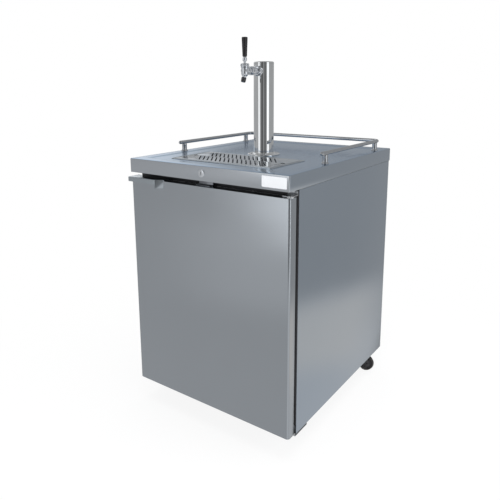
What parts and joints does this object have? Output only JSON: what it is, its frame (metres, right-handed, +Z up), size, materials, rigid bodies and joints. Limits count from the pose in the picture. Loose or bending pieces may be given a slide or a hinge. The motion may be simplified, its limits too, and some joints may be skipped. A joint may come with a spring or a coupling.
{
  "type": "draft beer cooler",
  "caption": "One-door refrigerated keg cabinet on casters, with drip tray, gallery rail and a single-faucet column tower.",
  "frame": {"origin": "centre of the footprint (the bounding box seen from above), at floor level", "axes": "+Z up, -Y out of the front (the door side), +X towards the hinge side"},
  "size_m": [0.686, 0.821, 1.404],
  "materials": {
    "stainless": "satin",
    "stainless_worktop": "satin",
    "polished_steel": "polished",
    "chrome": "polished",
    "zinc": "satin",
    "galvanised": "satin",
    "dark_metal": "satin",
    "black_metal": "satin",
    "black_plastic": "matte",
    "handle_black": "gloss",
    "white_plastic": "satin",
    "label_white": "gloss",
    "foam": "matte",
    "gasket_rubber": "matte",
    "tyre_rubber": "matte",
    "copper": "satin",
    "beer_tube": "satin",
    "aluminium": "satin"
  },
  "bodies": {
    "cabinet": {"base_frame": "galvanised", "side_panel_left": "stainless", "side_panel_right": "stainless", "rear_bulkhead": "galvanised", "rear_grille": "stainless", "front_sill": "dark_metal", "breaker_frame": "black_plastic", "liner_panels": "aluminium", "insulation": "foam", "worktop": "stainless_worktop", "label_plate": "label_white", "drip_tray_pan": "stainless_worktop", "drain_spout": "black_plastic", "tower_column": "polished_steel", "screws": "zinc", "tower_cap": "polished_steel", "tower_insulation": "foam", "shank": "chrome", "shank_flange": "chrome", "shank_nut": "zinc", "coupling_nut": "chrome", "faucet_body": "chrome", "faucet_bonnet": "chrome", "beer_line": "beer_tube", "gallery_rail": "stainless", "rail_posts": "polished_steel", "lock_barrel": "chrome", "hinge_brackets": "zinc", "evaporator_cover": "white_plastic", "evaporator_coil": "aluminium", "compressor": "black_metal", "condenser": "dark_metal", "condenser_shroud": "dark_metal", "refrigerant_lines": "copper", "power_inlet": "black_plastic", "gas_grommets": "gasket_rubber", "caster_plates": "zinc"},
    "door": {"door_skin": "stainless", "door_foam": "foam", "door_liner": "white_plastic", "door_gasket": "gasket_rubber", "door_pull": "stainless", "door_bushes": "white_plastic", "door_strike": "zinc"},
    "lock": {"lock_plug": "chrome"},
    "tap": {"tap_lever": "chrome", "tap_handle": "handle_black"},
    "valve": {"valve_shaft": "zinc"},
    "drip_grid": {"drip_grid": "stainless_worktop"},
    "evaporator_fan": {"evaporator_fan": "black_plastic"},
    "thermostat_knob": {"thermostat_knob": "black_plastic"},
    "condenser_fan": {"condenser_fan": "aluminium"},
    "caster_fr": {"caster_fork_fr": "black_metal"},
    "wheel_fr": {"caster_wheel_fr": "tyre_rubber"},
    "caster_fl": {"caster_fork_fl": "black_metal"},
    "wheel_fl": {"caster_wheel_fl": "tyre_rubber"},
    "caster_rr": {"caster_fork_rr": "black_metal"},
    "wheel_rr": {"caster_wheel_rr": "tyre_rubber"},
    "caster_rl": {"caster_fork_rl": "black_metal"},
    "wheel_rl": {"caster_wheel_rl": "tyre_rubber"}
  },
  "joints": [
    {"name": "door_swing", "type": "hinge", "parent": "cabinet", "child": "door", "pos_m": [0.331, -0.3695, 0.5], "axis": [0, 0, 1], "range_deg": [0, 110]},
    {"name": "lock_turn", "type": "hinge", "parent": "cabinet", "child": "lock", "pos_m": [0, -0.3945, 0.951], "axis": [0, 1, 0], "range_deg": [0, 90]},
    {"name": "tap_pull", "type": "hinge", "parent": "cabinet", "child": "tap", "pos_m": [0, -0.1435, 1.304], "axis": [1, 0, 0], "range_deg": [0, 30]},
    {"name": "valve_slide", "type": "slide", "parent": "cabinet", "child": "valve", "axis": [0, 1, 0], "range_m": [0, 0.0076]},
    {"name": "drip_grid_lift", "type": "slide", "parent": "cabinet", "child": "drip_grid", "axis": [0, 0, 1], "range_m": [0, 0.06]},
    {"name": "evaporator_fan_spin", "type": "hinge", "parent": "cabinet", "child": "evaporator_fan", "pos_m": [-0.07, 0.1085, 0.808], "axis": [0, 1, 0], "continuous": true},
    {"name": "thermostat_turn", "type": "hinge", "parent": "cabinet", "child": "thermostat_knob", "pos_m": [0.17, 0.0855, 0.735], "axis": [0, 1, 0], "range_deg": [-135, 135]},
    {"name": "condenser_fan_spin", "type": "hinge", "parent": "cabinet", "child": "condenser_fan", "pos_m": [0.138, 0.3075, 0.285], "axis": [0, 1, 0], "continuous": true},
    {"name": "caster_fr_swivel", "type": "hinge", "parent": "cabinet", "child": "caster_fr", "pos_m": [0.29, -0.2295, 0.078], "axis": [0, 0, 1], "continuous": true},
    {"name": "wheel_fr_spin", "type": "hinge", "parent": "caster_fr", "child": "wheel_fr", "pos_m": [0.264, -0.2295, 0.032], "axis": [0, -1, 0], "continuous": true},
    {"name": "caster_fl_swivel", "type": "hinge", "parent": "cabinet", "child": "caster_fl", "pos_m": [-0.29, -0.2295, 0.078], "axis": [0, 0, 1], "continuous": true},
    {"name": "wheel_fl_spin", "type": "hinge", "parent": "caster_fl", "child": "wheel_fl", "pos_m": [-0.28111, -0.20507, 0.032], "axis": [-0.9397, 0.342, 0], "continuous": true},
    {"name": "caster_rr_swivel", "type": "hinge", "parent": "cabinet", "child": "caster_rr", "pos_m": [0.29, 0.3105, 0.078], "axis": [0, 0, 1], "continuous": true},
    {"name": "wheel_rr_spin", "type": "hinge", "parent": "caster_rr", "child": "wheel_rr", "pos_m": [0.31049, 0.32651, 0.032], "axis": [-0.6157, 0.788, 0], "continuous": true},
    {"name": "caster_rl_swivel", "type": "hinge", "parent": "cabinet", "child": "caster_rl", "pos_m": [-0.29, 0.3105, 0.078], "axis": [0, 0, 1], "continuous": true},
    {"name": "wheel_rl_spin", "type": "hinge", "parent": "caster_rl", "child": "wheel_rl", "pos_m": [-0.29673, 0.33561, 0.032], "axis": [-0.9659, -0.2588, 0], "continuous": true}
  ],
  "couplings": [
    {"joint": "valve_slide", "follows": "tap_pull", "m_per_rad": 0.0143}
  ]
}
